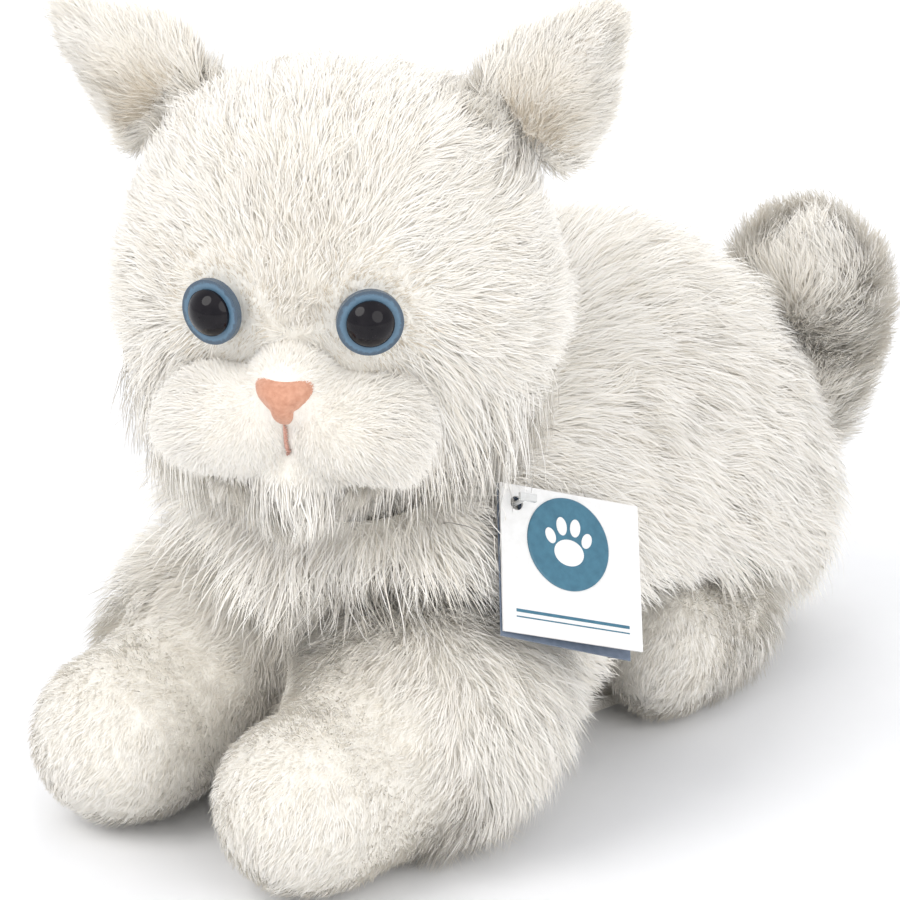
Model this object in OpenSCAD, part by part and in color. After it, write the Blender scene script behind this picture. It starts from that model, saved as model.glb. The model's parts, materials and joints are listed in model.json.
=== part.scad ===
// Stuffed toy cat lying on its belly, forelegs stretched out and head turned to its left.
// Millimetres. +Z is up, the cat looks along -Y and its left side is +X.
// The origin is the middle of the belly panel's resting face.
// Covers are plush: a knitted backing with its pile, so each outer face is the brushed pile's
// mean surface. Covers that meet across a joint meet as a ball in a pocket, like the soft sewn
// joint of the real toy, so that a part can bend there without passing through its neighbour.

/* [Torso] */
// Height of the back above the floor
torso_h = 137; // [130:1:140]
// Half of the torso's greatest width
torso_half_w = 57; // [54:0.5:60]
// Thickness of the long-pile plush, backing and pile
plush_t = 6; // [5:0.5:8]
// Thickness of the short-pile plush
short_plush_t = 4; // [3:0.5:5]
// Thickness of the flat belly panel
panel_t = 2; // [1.5:0.1:2.5]

/* [Head] */
// Angle by which the head is sewn turned to the cat's left
head_yaw = 27; // [15:1:30]
// Half of the head's width across the cheeks
head_half_w = 59; // [56:0.5:61]
// Half of the head's depth from brow to nape
head_half_d = 50; // [47:0.5:52]
// Half of the distance between the eyes
eye_half_gap = 20.2; // [18:0.1:22]
// Radius of the black eye dome
pupil_r = 6; // [5:0.1:6.5]
// Radius of the blue iris disc
iris_r = 8.4; // [8:0.1:9]

/* [Ears] */
// Half of an ear's width at its root
ear_half_w = 21; // [18:0.5:23]
// Height of an ear above its root
ear_h = 39; // [36:0.5:44]
// Lean of the left ear towards the crown
ear_lean_left = 5; // [-4:0.5:12]
// Lean of the right ear, which droops outwards
ear_lean_right = -3; // [-12:0.5:8]

/* [Legs and tail] */
// Half width of a front paw
paw_half_w = 27; // [24:0.5:28]
// Height of a front paw
paw_h = 51; // [46:0.5:52]
// Height of a hind foot
foot_h = 45; // [40:0.5:46]
// Radius of the tail at its thickest
tail_r = 22; // [19:0.5:23]

/* [Tags] */
// Width of the folded hang tag
tag_w = 43; // [40:0.5:46]
// Height of the tag's front leaf
tag_h = 40; // [38:0.5:44]
// Thickness of the tag's card
card_t = 0.6; // [0.5:0.1:0.8]

/* [Hidden] */

// Room left between pieces that touch
gap = 0.3;
// Room round a ball that turns in its pocket
ball_gap = 0.5;
// Half thickness of the tag fastener's barb, and how far it goes into the seam
barb_r = 0.6;
barb_reach = 8.5;
// How far the barb stands out of the front leaf, to the cross bar on its end
barb_stand = 5.4;
// A size larger than the whole toy
huge = 600;
left = 1;
right = -1;

// Torso: position along its length, then low side, high side and half width as parts of the whole
torso_front = -87;
torso_len = 188;
torso_rows = [
    [0.00, 0.12, 0.78, 0.88],
    [0.11, 0.03, 0.90, 1.05],
    [0.27, -0.02, 0.95, 1.08],
    [0.45, -0.03, 0.98, 1.03],
    [0.64, -0.03, 1.00, 1.00],
    [0.80, -0.03, 0.96, 0.98],
    [0.92, 0.00, 0.84, 0.95],
    [1.00, 0.06, 0.68, 0.84]
];
torso_caps = [13, 15];
torso_sides = 24;

// Neck: a plug of stuffing in a tube of plush, rounded like a ball
neck_pivot = [1, -62, 98];
neck_r = 32;
neck_core_r = 20;

// Head: sections from jaw to crown as [height, half width part, half depth part, forward shift]
head_centre = [4.3, -72, 151];
head_rows = [
    [-27, 0.86, 0.86, 0],
    [-8, 1.00, 1.00, 0],
    [14, 0.98, 1.00, 0],
    [36, 0.78, 0.82, -2]
];
head_caps = [21, 22];
head_sides = 24;
// Radius of the hollow in the torso that the head rests in
head_seat_r = 62;
head_seat_lift = 2;

// Face, in the head's own frame: x to the cat's left, y to its back, z up
muzzle_at = [0, -46, -23];
muzzle_size = [30.5, 17, 17];
muzzle_droop = 3;
chin_at = [0, -45, -40];
chin_size = [15, 13.5, 8.5];
nose_at = [0, -61.7, -15.4];
nose_tilt = 22;
nose_half_w = 7.6;
nose_h = 12;
nose_t = 2;
eye_z = 4;
eye_y = -48.5;
eye_toe_out = 20;
iris_t = 2;
shank_r = 2.4;
shank_len = 17;
washer_r = 8;
washer_t = 1.4;
washer_depth = 11;

// Ears: the root runs from the crown side to the cheek side of the head
ear_root_in = [32, 2, 52];
ear_root_out = [60, 12, 22];
ear_root_r = 6;
ear_root_len = 32;
ear_t = 4.2;
ear_lining_t = 2.6;
ear_cup = 7;

// Legs and tail: ball centre first
shoulder_at = [38, -72, 38];
shoulder_r = 33;
paw_at = [33, -119, 0];
hip_at = [38, 54, 22];
hip_r = 20;
foot_at = [43, 24, 0];
foot_half_w = 19;
tail_root_at = [3, 112, 45];
tail_root_r = 16;

// Hang tag: its plane leans back against the cat's left side
tag_at = [69, -55.4, 79.4];
tag_turn = 78;
tag_recline = 34;
tag_roll = -23;
tag_back_extra = 1;
leaf_gap = 0.5;
leaf_spread = 6;
tag_hole_r = 1.9;
tag_hole_inset = 5;
emblem_r = 14;
emblem_t = 0.25;

// ---------------------------------------------------------------- shared shape functions

// Unit vector along v
function unit(v) = v / norm(v);

// Part of v that is square to the unit vector t, as a unit vector
function square_to(v, t) = unit(v - t * (v * t));

// Smooth curve through a list of rows, t running from 0 to 1
function spline(rows, t) =
    let (
        last = len(rows) - 1,
        i = min(last - 1, floor(t * last)),
        f = t * last - i,
        a = rows[max(0, i - 1)],
        b = rows[i],
        c = rows[i + 1],
        d = rows[min(last, i + 2)]
    )
    0.5 * (2 * b + (c - a) * f + (2 * a - 5 * b + 4 * c - d) * f * f
        + (3 * b - a - 3 * c + d) * f * f * f);

function centre_of(row) = [row[0], row[1], row[2]];

// Direction of the spine at t
function heading(rows, t) =
    unit(centre_of(spline(rows, min(1, t + 0.01))) - centre_of(spline(rows, max(0, t - 0.01))));

// One ring round the spine; curl lifts its two sides, and nothing goes below the level
function ring(centre, across, up, w, h, curl, sides, level) = [
    for (k = [0 : sides - 1])
        let (
            a = 360 * k / sides,
            p = centre + across * (w * cos(a)) + up * (h * sin(a) + curl * cos(a) * cos(a))
        )
        [p[0], p[1], max(level, p[2])]
];

// A ring of a rounded end: turn is 0 at the tip and 90 at the first full section
function cap_ring(row, along, side, reach, turn, inset, sides, level) =
    let (across = square_to(side, along), up = cross(across, along))
    ring(centre_of(row) + along * (reach * cos(turn)), across, up,
        (row[3] - inset) * sin(turn), (row[4] - inset) * sin(turn), row[5] * sin(turn),
        sides, level);

// All rings of a form, from its first rounded end to its last
function form_rings(rows, caps, inset, side, along, sides, steps, cap_steps, level) =
    let (
        start = is_undef(along) ? heading(rows, 0) : along,
        finish = is_undef(along) ? heading(rows, 1) : along,
        last = rows[len(rows) - 1]
    )
    concat(
        [for (j = [1 : cap_steps - 1])
            cap_ring(rows[0], start, side, inset - caps[0], 90 * j / cap_steps, inset, sides, level)],
        [for (i = [0 : steps])
            let (
                row = spline(rows, i / steps),
                way = is_undef(along) ? heading(rows, i / steps) : along,
                across = square_to(side, way)
            )
            ring(centre_of(row), across, cross(across, way),
                row[3] - inset, row[4] - inset, row[5], sides, level)],
        [for (j = [cap_steps - 1 : -1 : 1])
            cap_ring(last, finish, side, caps[1] - inset, 90 * j / cap_steps, inset, sides, level)]
    );

// The point at a form's first or last tip
function form_tip(rows, caps, inset, along, first) =
    let (
        way = is_undef(along) ? heading(rows, first ? 0 : 1) : along,
        row = first ? rows[0] : rows[len(rows) - 1]
    )
    centre_of(row) + way * (first ? inset - caps[0] : caps[1] - inset);

// Triangles between ring i and the next ring, where the rings start at point from
function band(from, i, sides) = [
    for (k = [0 : sides - 1], upper = [0, 1])
        let (a = from + i * sides + k, b = from + i * sides + (k + 1) % sides)
        upper ? [b, a + sides, b + sides] : [a, a + sides, b]
];

// Closed soft form round a spine. Each row is [x, y, z, half width, half height, curl],
// caps are the lengths of the two rounded ends, and inset shrinks the form evenly.
module soft_form(rows, caps, inset = 0, side = [1, 0, 0], along = undef, sides = 16,
        steps = 6, cap_steps = 3, level = -huge) {
    rings = form_rings(rows, caps, inset, side, along, sides, steps, cap_steps, level);
    end = len(rings) * sides + 1;
    polyhedron(
        points = concat(
            [form_tip(rows, caps, inset, along, true)],
            [for (r = rings, p = r) p],
            [form_tip(rows, caps, inset, along, false)]
        ),
        faces = concat(
            [for (k = [0 : sides - 1]) [0, 1 + k, 1 + (k + 1) % sides]],
            [for (i = [0 : len(rings) - 2], f = band(1, i, sides)) f],
            [for (k = [0 : sides - 1])
                [end, end - sides + (k + 1) % sides, end - sides + k]]
        ),
        convexity = 6
    );
}

// The cover of a soft form: a skin of the given thickness that is open at its first tip,
// where the stuffing goes in and the cover is sewn to its neighbour
module soft_cover(rows, caps, thick, side = [1, 0, 0], along = undef, sides = 16,
        steps = 6, cap_steps = 3, level = -huge) {
    outer = form_rings(rows, caps, 0, side, along, sides, steps, cap_steps, level);
    inner = form_rings(rows, caps, thick, side, along, sides, steps, cap_steps,
        level + thick);
    count = len(outer);
    total = count * sides;
    outer_tip = 2 * total;
    inner_tip = outer_tip + 1;
    polyhedron(
        points = concat(
            [for (r = outer, p = r) p],
            [for (r = inner, p = r) p],
            [form_tip(rows, caps, 0, along, false), form_tip(rows, caps, thick, along, false)]
        ),
        faces = concat(
            [for (i = [0 : count - 2], f = band(0, i, sides)) f],
            [for (i = [0 : count - 2], f = band(total, i, sides)) [f[0], f[2], f[1]]],
            [for (k = [0 : sides - 1])
                [outer_tip, total - sides + (k + 1) % sides, total - sides + k]],
            [for (k = [0 : sides - 1])
                [inner_tip, 2 * total - sides + k, 2 * total - sides + (k + 1) % sides]],
            [for (k = [0 : sides - 1]) [k, (k + 1) % sides, total + k]],
            [for (k = [0 : sides - 1]) [(k + 1) % sides, total + (k + 1) % sides, total + k]]
        ),
        convexity = 8
    );
}

// Everything above a level
module above(level) {
    translate([-huge / 2, -huge / 2, level]) cube(huge);
}

// Room for a limb that turns in its pocket: round behind a, and a bar towards b that
// widens from r to the end radius
module limb_room(a, b, r, end_r) {
    way = b - a;
    arc_steps = 7;
    translate(a)
        rotate([0, acos(way[2] / norm(way)), atan2(way[1], way[0])])
            rotate_extrude($fn = 48)
                polygon(concat(
                    [for (k = [0 : arc_steps])
                        [r * sin(90 * k / arc_steps), -r * cos(90 * k / arc_steps)]],
                    [[end_r, norm(way)], [0, norm(way)]]
                ));
}

// Puts a shape made in the head's own frame into its place
module on_head() {
    translate(head_centre) rotate([0, 0, head_yaw]) children();
}

// A point of the left side, moved to the side asked for
function sided(p, side) = [p[0] * side, p[1], p[2]];

// ---------------------------------------------------------------- torso

// Sections run from the rump to the chest, so that the cover is open under the tail
function torso_section(r) =
    let (low = r[1] * torso_h, high = r[2] * torso_h)
    [0, torso_front + r[0] * torso_len, (low + high) / 2, r[3] * torso_half_w, (high - low) / 2, 0];

torso_sections = [for (i = [len(torso_rows) - 1 : -1 : 0]) torso_section(torso_rows[i])];

// The pockets for the neck, head, legs and tail
module torso_pockets() {
    translate(neck_pivot) sphere(neck_r + ball_gap, $fn = 96);
    translate(head_centre + [0, 0, head_seat_lift]) sphere(head_seat_r, $fn = 96);
    for (side = [left, right]) {
        limb_room(sided(shoulder_at, side), sided(shoulder_at + [0, -60, 9], side),
            shoulder_r + ball_gap, shoulder_r + 13);
        hip_room(side);
    }
    limb_room(tail_root_at, tail_root_at + [5, 24, 22], tail_root_r + ball_gap, tail_root_r + 13);
}

module hip_room(side) {
    limb_room(sided(hip_at, side), sided([foot_at[0] + 2, foot_at[1] - 44, foot_h / 2], side),
        hip_r + ball_gap, foot_h / 2 + 11);
}

module torso_cover() {
    color("ivory") difference() {
        soft_cover(torso_sections, torso_caps, plush_t, along = [0, -1, 0],
            sides = torso_sides, steps = 9, level = panel_t + gap);
        torso_pockets();
        at_tag_hole()
            translate([0, 0, -2 * barb_reach]) cylinder(h = 2 * barb_reach, r = barb_r + gap, $fn = 24);
    }
}

module torso_stuffing() {
    color("white") difference() {
        soft_form(torso_sections, torso_caps, plush_t + gap, along = [0, -1, 0],
            sides = torso_sides, steps = 9, level = panel_t + plush_t + 2 * gap);
        torso_pockets();
    }
}

// The flat oval that the toy rests on
module belly_panel() {
    sides = 36;
    reach_x = 37;
    reach_y = 74;
    color("ivory") difference() {
        linear_extrude(panel_t)
            polygon([for (k = [0 : sides - 1])
                [reach_x * cos(360 * k / sides), reach_y * sin(360 * k / sides)]]);
        for (side = [left, right])
            hip_room(side);
    }
}

// Small folded cream ribbon sewn into the seam at the rump
module care_label() {
    label_w = 10;
    label_reach = 9;
    label_t = 0.5;
    color("wheat")
        translate([34, 102, 20]) rotate([0, 0, -32])
            translate([-label_w / 2, 0, 0]) {
                cube([label_w, label_reach, label_t]);
                translate([0, 0, 2 * label_t]) cube([label_w, label_reach, label_t]);
                translate([0, label_reach - label_t, label_t]) cube([label_w, label_t, label_t]);
            }
}

// ---------------------------------------------------------------- neck

module neck_cover() {
    color("ivory") translate(neck_pivot) difference() {
        sphere(neck_r, $fn = 96);
        cylinder(h = huge, r = neck_core_r, center = true, $fn = 72);
    }
}

module neck_stuffing() {
    color("white") translate(neck_pivot) intersection() {
        sphere(neck_r - gap, $fn = 96);
        cylinder(h = huge, r = neck_core_r - gap, center = true, $fn = 72);
    }
}

// ---------------------------------------------------------------- head

function head_section(r) =
    [0, r[3], r[0], r[1] * head_half_w, r[2] * head_half_d, 0];

head_sections = [for (r = head_rows) head_section(r)];

module head_form(inset) {
    soft_form(head_sections, head_caps, inset, along = [0, 0, 1], sides = head_sides, steps = 6);
}

// Axes of the two eyes: each looks a little outwards
module at_eye(side) {
    translate([side * eye_half_gap, eye_y, eye_z]) rotate([90, 0, side * eye_toe_out]) children();
}

module eye_bores() {
    for (side = [left, right])
        at_eye(side) cylinder(h = 60, r = shank_r + gap, center = true, $fn = 32);
}

module eye_seats() {
    for (side = [left, right])
        at_eye(side) translate([0, 0, -iris_t]) cylinder(h = 20, r = iris_r + gap, $fn = 48);
}

module ear_grooves() {
    for (side = [left, right])
        at_ear(side) rotate([0, 90, 0])
            cylinder(h = ear_root_len + 2, r = ear_root_r + ball_gap, center = true, $fn = 24);
}

module head_cover() {
    color("ivory") on_head() difference() {
        soft_cover(head_sections, head_caps, plush_t, along = [0, 0, 1], sides = head_sides,
            steps = 6);
        eye_bores();
        eye_seats();
        ear_grooves();
        neck_room();
    }
}

// The neck's pocket, in the head's own frame
module neck_room() {
    rotate([0, 0, -head_yaw]) translate(neck_pivot - head_centre)
        sphere(neck_r + ball_gap, $fn = 96);
}

module head_stuffing() {
    color("white") on_head() difference() {
        head_form(plush_t + gap);
        eye_bores();
        for (side = [left, right])
            at_eye(side) translate([0, 0, -washer_depth - washer_t - gap])
                cylinder(h = washer_depth + 20, r = washer_r + gap, $fn = 48);
        ear_grooves();
        neck_room();
    }
}

// Broad rounded pad whose two sides droop a little
muzzle_sections = [
    [0, muzzle_at[1] + 18, muzzle_at[2], muzzle_size[0], muzzle_size[2] * 0.95, muzzle_droop],
    [0, muzzle_at[1] + 9, muzzle_at[2], muzzle_size[0], muzzle_size[2], muzzle_droop],
    [0, muzzle_at[1], muzzle_at[2], muzzle_size[0], muzzle_size[2], muzzle_droop]
];
muzzle_caps = [muzzle_size[1] / 2, muzzle_size[1]];

// What the muzzle and chin are sewn to: the round front of the head
module head_front() {
    front_r = head_half_w * head_half_w / head_half_d;
    translate([0, front_r - head_half_d - gap, 0])
        cylinder(h = 200, r = front_r, center = true, $fn = 96);
}

module muzzle_cover() {
    color("ivory") on_head() difference() {
        soft_cover(muzzle_sections, muzzle_caps, short_plush_t, along = [0, -1, 0],
            sides = 24, steps = 2, cap_steps = 5);
        head_front();
    }
}

module muzzle_stuffing() {
    color("white") on_head() difference() {
        soft_form(muzzle_sections, muzzle_caps, short_plush_t + gap, along = [0, -1, 0],
            sides = 24, steps = 2, cap_steps = 5);
        head_front();
    }
}

module chin_cover() {
    color("ivory") on_head() difference() {
        soft_form([
            [chin_at[0] - 4, chin_at[1], chin_at[2], chin_size[1], chin_size[2], 0],
            [chin_at[0] + 4, chin_at[1], chin_at[2], chin_size[1], chin_size[2], 0]
        ], [chin_size[0] - 4, chin_size[0] - 4], side = [0, 1, 0], along = [1, 0, 0], steps = 2);
        above(muzzle_at[2] - muzzle_size[2] - gap);
        head_front();
    }
}

// Flat triangle with rounded corners and a short stem, sewn on the end of the muzzle
module nose_patch() {
    corner_r = 2;
    stem_r = 2.2;
    color("salmon") on_head()
        translate(nose_at) rotate([90 - nose_tilt, 0, 0]) linear_extrude(nose_t)
            hull() {
                for (side = [left, right])
                    translate([side * (nose_half_w - corner_r), nose_h / 2 - corner_r])
                        circle(corner_r, $fn = 24);
                translate([0, stem_r - nose_h / 2]) circle(stem_r, $fn = 24);
            }
}

// Two strands of embroidery thread side by side, from the nose down the middle of the muzzle
module mouth_stitch() {
    thread_r = 0.7;
    apart = 0.75;
    color("salmon") on_head() for (side = [left, right])
        soft_form([
            [side * apart, -63.9, -23, thread_r, thread_r, 0],
            [side * apart, -63.8, -26, thread_r, thread_r, 0],
            [side * apart, -62.6, -31, thread_r, thread_r, 0]
        ], [thread_r, thread_r], sides = 8, steps = 8, cap_steps = 2);
}

// ---------------------------------------------------------------- eyes

// Domed black pupil in front of the iris
module eye_pupil(side) {
    dome_r = 7;
    rise = dome_r - sqrt(dome_r * dome_r - pupil_r * pupil_r);
    color("black") on_head() at_eye(side) translate([0, 0, gap / 2 + 0.8]) {
        cylinder(h = 0.8, r = pupil_r, $fn = 64);
        translate([0, 0, 0.8]) intersection() {
            translate([0, 0, rise - dome_r]) sphere(dome_r, $fn = 64);
            cylinder(h = dome_r, r = pupil_r, $fn = 64);
        }
    }
}

module eye_iris(side) {
    color("steelblue") on_head() at_eye(side)
        translate([0, 0, gap / 2 + 0.8 - iris_t]) difference() {
            cylinder(h = iris_t - 0.1, r = iris_r, $fn = 64);
            translate([0, 0, -1]) cylinder(h = 2, r = shank_r + 0.1, $fn = 32);
        }
}

// Plastic stem that goes through the plush into the head
module eye_shank(side) {
    color("dimgray") on_head() at_eye(side)
        translate([0, 0, gap / 2 + 0.8 - iris_t + 0.9 - shank_len])
            cylinder(h = shank_len, r = shank_r, $fn = 32);
}

// Toothed washer that locks the stem behind the plush
module eye_washer(side) {
    color("white") on_head() at_eye(side) translate([0, 0, -washer_depth - washer_t])
        difference() {
            cylinder(h = washer_t, r = washer_r, $fn = 48);
            translate([0, 0, -1]) cylinder(h = washer_t + 2, r = shank_r + 0.05, $fn = 32);
        }
}

// ---------------------------------------------------------------- ears

// Ear frame in the head's frame: X along the root, Y to the back of the ear, Z out of the head
module at_ear(side) {
    along = unit(ear_root_out - ear_root_in);
    outward = square_to([0.72, 0.1, 0.72], along);
    back = cross(outward, along);
    middle = (ear_root_in + ear_root_out) / 2;
    mirror([side == left ? 0 : 1, 0, 0])
        multmatrix([
            [along[0], back[0], outward[0], middle[0]],
            [along[1], back[1], outward[1], middle[1]],
            [along[2], back[2], outward[2], middle[2]],
            [0, 0, 0, 1]
        ])
            children();
}

// Cupped petal; shift moves it towards the ear's opening
module ear_petal(lean, half_w, thick, height, shift) {
    half_t = thick / 2;
    soft_form([
        [0, -shift, 1, half_w * 0.84, half_t, 0],
        [-lean * 0.15, -shift, height * 0.3, half_w * 0.86, half_t, -ear_cup],
        [-lean * 0.5, -shift + 1, height * 0.58, half_w * 0.6, half_t, -ear_cup * 0.8],
        [-lean, -shift + 2, height * 0.84, half_w * 0.3, half_t * 0.8, -ear_cup * 0.3]
    ], [1.2, height * 0.16], along = [0, 0, 1], sides = 16, steps = 7);
}

module ear_cover(side, lean) {
    color("ivory") on_head() at_ear(side) ear_petal(lean, ear_half_w, ear_t, ear_h, 0);
}

module ear_lining(side, lean) {
    shift = (ear_t + ear_lining_t) / 2 + 3 * gap;
    color("tan") on_head() at_ear(side) difference() {
        ear_petal(lean, ear_half_w * 0.86, ear_lining_t, ear_h * 0.9, shift);
        rotate([0, 90, 0])
            cylinder(h = ear_root_len + 20, r = ear_root_r + gap, center = true, $fn = 48);
    }
}

// ---------------------------------------------------------------- legs

foreleg_sections = [
    [shoulder_at[0], shoulder_at[1], shoulder_at[2], shoulder_r, shoulder_r, 0],
    [36.5, -90, 33, shoulder_r * 0.94, shoulder_r * 0.89, 0],
    [33.5, -104, paw_h / 2, paw_half_w, paw_h * 0.5, 0],
    [paw_at[0], paw_at[1], paw_h / 2 - 1, paw_half_w, paw_h / 2, 0]
];
foreleg_caps = [shoulder_r, 26];

module foreleg_cover(side) {
    color("ivory") mirror([side == left ? 0 : 1, 0, 0])
        soft_cover(foreleg_sections, foreleg_caps, short_plush_t, along = [0, -1, 0],
            sides = 18, steps = 6, cap_steps = 4, level = 0);
}

module foreleg_stuffing(side) {
    color("white") mirror([side == left ? 0 : 1, 0, 0])
        soft_form(foreleg_sections, foreleg_caps, short_plush_t + gap, along = [0, -1, 0],
            sides = 18, steps = 6, cap_steps = 4, level = short_plush_t + gap);
}

hind_leg_sections = [
    [hip_at[0], hip_at[1], hip_at[2], hip_r, hip_r, 0],
    [41, 38, foot_h / 2 - 0.8, foot_half_w, foot_h / 2 - 1.4, 0],
    [foot_at[0], foot_at[1], foot_h / 2 - 1, foot_half_w, foot_h / 2, 0]
];
hind_leg_caps = [hip_r, 19];

module hind_leg_cover(side) {
    color("ivory") mirror([side == left ? 0 : 1, 0, 0])
        soft_cover(hind_leg_sections, hind_leg_caps, short_plush_t, along = [0, -1, 0],
            sides = 16, steps = 4, cap_steps = 4, level = 0);
}

module hind_leg_stuffing(side) {
    color("white") mirror([side == left ? 0 : 1, 0, 0])
        soft_form(hind_leg_sections, hind_leg_caps, short_plush_t + gap, along = [0, -1, 0],
            sides = 16, steps = 4, cap_steps = 4, level = short_plush_t + gap);
}

// ---------------------------------------------------------------- tail

tail_sections = [
    [tail_root_at[0], tail_root_at[1], tail_root_at[2], tail_root_r, tail_root_r, 0],
    [7, 131, 60, tail_r * 1.03, tail_r * 1.03, 0],
    [14, 135, 82, tail_r, tail_r, 0],
    [21, 126, 101, tail_r, tail_r, 0]
];
tail_caps = [tail_root_r, 20];

module tail_cover() {
    color("ivory") soft_cover(tail_sections, tail_caps, plush_t, sides = 18, steps = 8,
        cap_steps = 4);
}

module tail_stuffing() {
    color("white") soft_form(tail_sections, tail_caps, plush_t + gap, sides = 18, steps = 8,
        cap_steps = 4);
}

// ---------------------------------------------------------------- hang tag

// Tag frame: X to the right along its width, Y up its face, Z out of its face, origin mid-face
module on_tag() {
    translate(tag_at) rotate([0, 0, tag_turn]) rotate([90 - tag_recline, 0, 0])
        rotate([0, 0, tag_roll]) children();
}

module tag_leaf(height, hole_y) {
    translate([0, tag_h / 2 - height, 0]) difference() {
        cube([tag_w, height, card_t]);
        translate([tag_hole_inset, hole_y, -1]) cylinder(h = 3, r = tag_hole_r, $fn = 32);
    }
}

module tag_back_leaf() {
    height = tag_h + tag_back_extra;
    color("lightslategray") on_tag()
        translate([-tag_w / 2, 0, -card_t - leaf_gap]) rotate([0, leaf_spread, 0])
            tag_leaf(height, height - tag_hole_inset);
}

module tag_front_leaf() {
    color("whitesmoke") on_tag() translate([-tag_w / 2, 0, 0])
        tag_leaf(tag_h, tag_h - tag_hole_inset);
}

// Plain round printed disc on the front leaf
module tag_emblem() {
    color("steelblue") on_tag() translate([-1, 6, card_t])
        cylinder(h = emblem_t, r = emblem_r, $fn = 72);
}

// The hole that the barb goes through
module at_tag_hole() {
    on_tag() translate([tag_hole_inset - tag_w / 2, tag_h / 2 - tag_hole_inset, 0]) children();
}

// Moulded plastic barb that holds the tag to the seam at the shoulder
module tag_fastener() {
    bar = [5, 2, 1];
    color("white") at_tag_hole() {
        translate([0, 0, -barb_reach]) cylinder(h = barb_reach + barb_stand, r = barb_r, $fn = 24);
        translate([-bar.x / 2, -bar.y / 2, barb_stand]) cube(bar);
    }
}

// ---------------------------------------------------------------- nodes

torso_cover();
torso_stuffing();
belly_panel();
care_label();
tag_fastener();
neck_cover();
neck_stuffing();
head_cover();
head_stuffing();
muzzle_cover();
muzzle_stuffing();
chin_cover();
nose_patch();
mouth_stitch();
eye_pupil(left);  // eye_left_pupil
eye_iris(left);  // eye_left_iris
eye_shank(left);  // eye_left_shank
eye_washer(left);  // eye_left_washer
eye_pupil(right);  // eye_right_pupil
eye_iris(right);  // eye_right_iris
eye_shank(right);  // eye_right_shank
eye_washer(right);  // eye_right_washer
ear_cover(left, ear_lean_left);  // ear_left_cover
ear_lining(left, ear_lean_left);  // ear_left_lining
ear_cover(right, ear_lean_right);  // ear_right_cover
ear_lining(right, ear_lean_right);  // ear_right_lining
foreleg_cover(left);  // foreleg_left_cover
foreleg_stuffing(left);  // foreleg_left_stuffing
foreleg_cover(right);  // foreleg_right_cover
foreleg_stuffing(right);  // foreleg_right_stuffing
hind_leg_cover(left);  // hind_leg_left_cover
hind_leg_stuffing(left);  // hind_leg_left_stuffing
hind_leg_cover(right);  // hind_leg_right_cover
hind_leg_stuffing(right);  // hind_leg_right_stuffing
tail_cover();
tail_stuffing();
tag_back_leaf();
tag_front_leaf();
tag_emblem();
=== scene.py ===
"""Looks of the plush cat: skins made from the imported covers, pile grown on them as fine blades,
glossy eyes, velour nose, stitched mouth, satin label and printed card tag.
Lengths are metres in the row frame unless a name says mm."""

import json
import math

import bmesh
import bpy
import numpy as np
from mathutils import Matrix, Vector
from mathutils.bvhtree import BVHTree
from mathutils.kdtree import KDTree


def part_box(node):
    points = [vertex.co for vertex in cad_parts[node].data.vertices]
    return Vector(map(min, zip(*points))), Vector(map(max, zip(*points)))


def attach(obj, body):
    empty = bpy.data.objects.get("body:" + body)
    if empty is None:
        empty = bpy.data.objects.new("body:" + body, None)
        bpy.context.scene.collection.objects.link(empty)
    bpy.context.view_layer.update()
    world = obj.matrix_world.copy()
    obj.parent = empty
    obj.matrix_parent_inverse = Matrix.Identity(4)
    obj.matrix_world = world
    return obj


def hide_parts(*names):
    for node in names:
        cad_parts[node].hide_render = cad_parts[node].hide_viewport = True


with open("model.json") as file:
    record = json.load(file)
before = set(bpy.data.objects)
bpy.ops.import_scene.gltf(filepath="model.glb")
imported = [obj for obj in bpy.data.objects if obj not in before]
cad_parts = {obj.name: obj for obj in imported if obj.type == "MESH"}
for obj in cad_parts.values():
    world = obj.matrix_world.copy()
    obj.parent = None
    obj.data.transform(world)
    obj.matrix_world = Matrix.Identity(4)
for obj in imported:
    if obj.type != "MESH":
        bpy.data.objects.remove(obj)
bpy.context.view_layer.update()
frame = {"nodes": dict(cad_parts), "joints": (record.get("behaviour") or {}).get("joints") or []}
NODES = frame["nodes"]
MM = 0.001
DENSITY = 1.0

# ------------------------------------------------------------------ small helpers


def centre(node):
    lo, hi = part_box(node)
    return np.array((lo + hi) / 2)


def unit(v):
    v = np.asarray(v, float)
    return v / np.maximum(np.linalg.norm(v, axis=-1, keepdims=True), 1e-12)


def smooth(a, b, x):
    t = np.clip((x - a) / (b - a), 0, 1)
    return t * t * (3 - 2 * t)


def joint(name):
    return next(j for j in frame["joints"] if j["name"] == name)


def waves(p, scale, seed):
    """Smooth noise from -1 to 1 made of a few crossed waves; scale is a wavelength."""
    rng = np.random.default_rng(seed)
    total = np.zeros(len(p))
    for _ in range(6):
        k = unit(rng.normal(size=3)) * rng.uniform(0.7, 1.6) * 2 * math.pi / scale
        total += np.sin(p @ k + rng.uniform(0, 2 * math.pi))
    return total / 3.2


def add_object(name, mesh, body, slot, *replaced):
    obj = bpy.data.objects.new(name, mesh)
    bpy.context.scene.collection.objects.link(obj)
    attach(obj, body)
    if replaced:
        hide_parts(*replaced)
    return obj


def mesh_from(name, verts, faces, smooth_faces=True):
    mesh = bpy.data.meshes.new(name)
    mesh.from_pydata([tuple(v) for v in verts], [], faces)
    mesh.update()
    if smooth_faces:
        mesh.polygons.foreach_set("use_smooth", np.ones(len(mesh.polygons), bool))
    return mesh


def grid_faces(rows, cols):
    """Quads of a grid of rows by cols cells whose points are listed row by row."""
    wide = cols + 1
    return [(i * wide + k, i * wide + k + 1, (i + 1) * wide + k + 1, (i + 1) * wide + k)
            for i in range(rows) for k in range(cols)]


# ------------------------------------------------------------------ materials


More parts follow.
